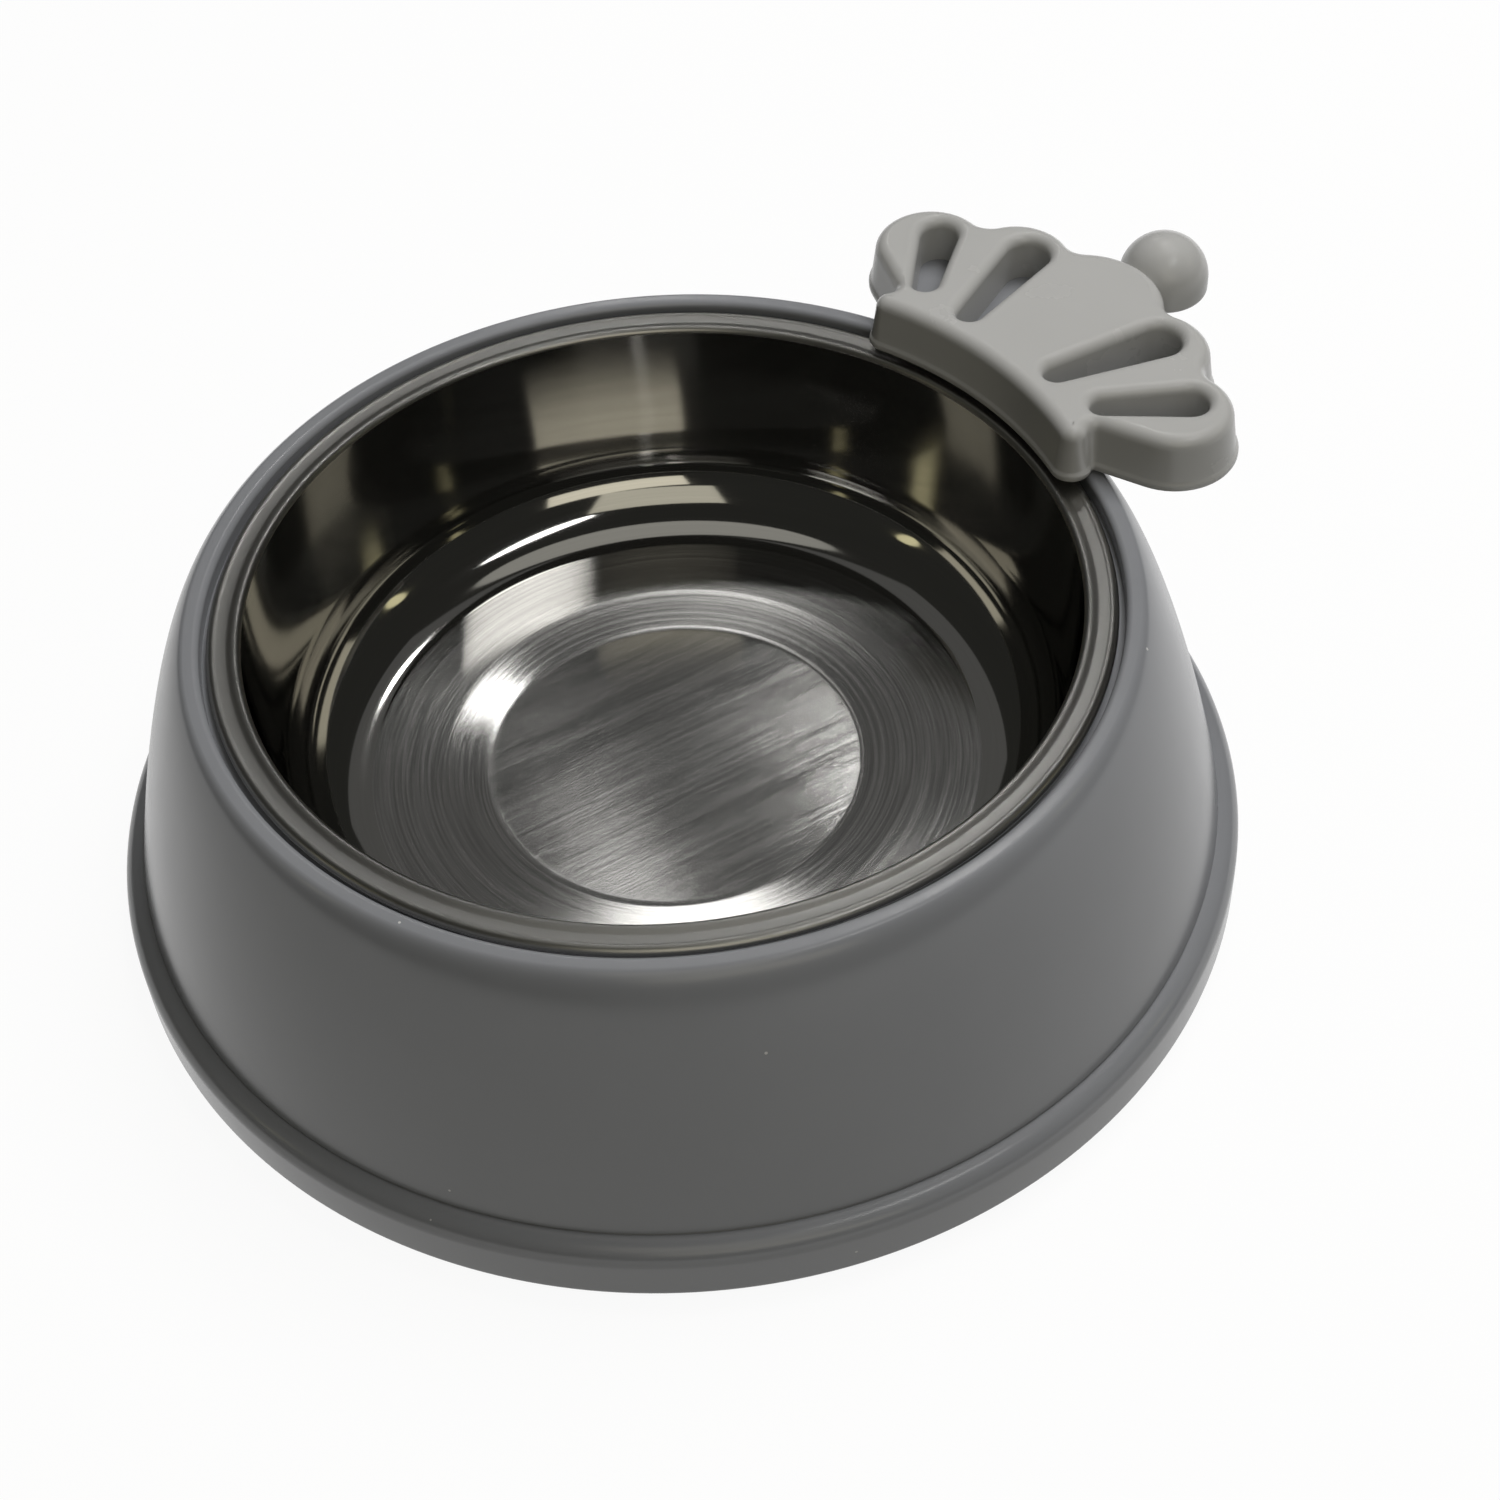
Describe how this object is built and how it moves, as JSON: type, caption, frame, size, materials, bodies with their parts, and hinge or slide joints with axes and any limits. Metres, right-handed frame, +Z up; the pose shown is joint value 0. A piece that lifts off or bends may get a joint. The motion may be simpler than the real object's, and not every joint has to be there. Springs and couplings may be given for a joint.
{
  "type": "pet food bowl",
  "caption": "Round pet food bowl: a polished steel dish hung by its rim in a flared grey stand with a crown ornament over the rim; the dish tilts up to come out.",
  "frame": {"origin": "on the table, on the bowl's axis, midway between the feet", "axes": "+Z up along the bowl's axis, +Y from the axis towards the crown, +X to the right when looking along +Y"},
  "size_m": [0.173, 0.1948, 0.063],
  "materials": {
    "shell_plastic": "moulded gloss, cool mid grey",
    "dish_steel": "mirror-polished wall, brushed bottom, satin rim",
    "crown_plastic": "moulded gloss, light neutral grey",
    "screw_steel": "zinc plated",
    "foot_rubber": "matt"
  },
  "bodies": {
    "base": {"base_shell": "shell_plastic", "crown": "crown_plastic", "crown_screws": "screw_steel", "rubber_foot_1": "foot_rubber", "rubber_foot_2": "foot_rubber", "rubber_foot_3": "foot_rubber", "rubber_foot_4": "foot_rubber"},
    "bowl": {"steel_bowl": "dish_steel"}
  },
  "joints": [
    {"name": "bowl_tilt", "type": "hinge", "parent": "base", "child": "bowl", "pos_m": [0, 0.0624, 0.0495], "axis": [-1, 0, 0], "range_deg": [0, 15]}
  ]
}
